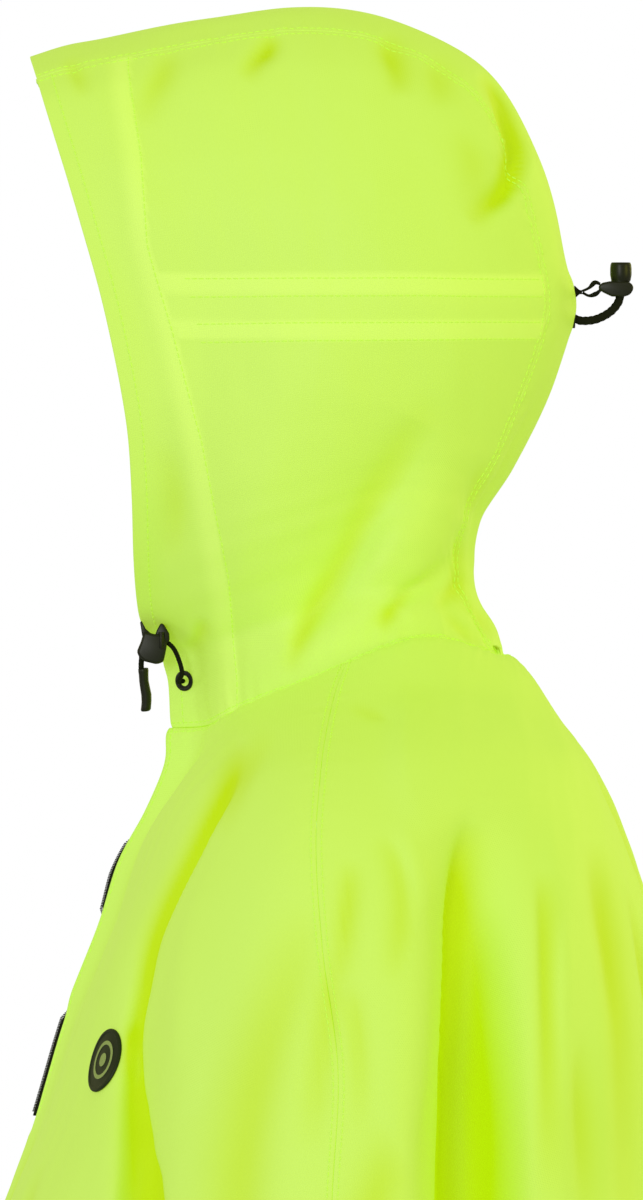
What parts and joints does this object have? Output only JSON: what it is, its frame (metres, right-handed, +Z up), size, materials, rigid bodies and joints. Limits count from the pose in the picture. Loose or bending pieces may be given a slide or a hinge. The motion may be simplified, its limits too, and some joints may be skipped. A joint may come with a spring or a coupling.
{
  "type": "hooded rain poncho",
  "caption": "Hooded high-visibility rain poncho in its worn shape, with a front zip, hood drawcords with cord locks and a volume adjuster behind the head.",
  "frame": {"origin": "middle of the neck opening, on the line between the shoulder ends of the neck seam, where the wearer's neck and shoulders hold the poncho", "axes": "+Z up, -Y the way the wearer faces, +X the wearer's left"},
  "size_m": [0.8169, 0.5099, 1.2951],
  "materials": {
    "coated_cloth": "fluorescent yellow-green polyester with a smooth waterproof coating, matt with a slight sheen",
    "doubled_cloth": "the same cloth in a second layer, which reads a little lighter",
    "zip": "black woven tape with a moulded coil",
    "trim_plastic": "black moulded acetal, fine matt",
    "cord": "black braided elastic cord",
    "badge_rubber": "dark soft rubber with a raised rim"
  },
  "bodies": {
    "poncho": {"body_front": "coated_cloth", "body_back": "coated_cloth", "hood_centre": "coated_cloth", "hood_side_left": "coated_cloth", "hood_side_right": "coated_cloth", "hood_facing_left": "doubled_cloth", "hood_facing_right": "doubled_cloth", "hood_tunnel_left": "doubled_cloth", "hood_tunnel_right": "doubled_cloth", "front_zip": "zip", "zip_slider": "trim_plastic", "badge": "badge_rubber", "eyelet_left": "trim_plastic", "eyelet_right": "trim_plastic", "front_cord_left": "cord", "front_cord_right": "cord", "front_lock_left": "trim_plastic", "front_lock_right": "trim_plastic", "cord_end_left": "trim_plastic", "cord_end_right": "trim_plastic", "rear_tab": "cord", "rear_strand_1": "cord", "rear_strand_2": "cord", "rear_cord": "cord", "rear_lock": "trim_plastic", "rear_button": "trim_plastic"},
    "pull": {"zip_pull": "trim_plastic"}
  },
  "joints": [
    {"name": "zip_pull_hinge", "type": "hinge", "parent": "poncho", "child": "pull", "pos_m": [0, -0.0758, 0.0176], "axis": [-1, 0, 0], "range_deg": [0, 150]}
  ]
}
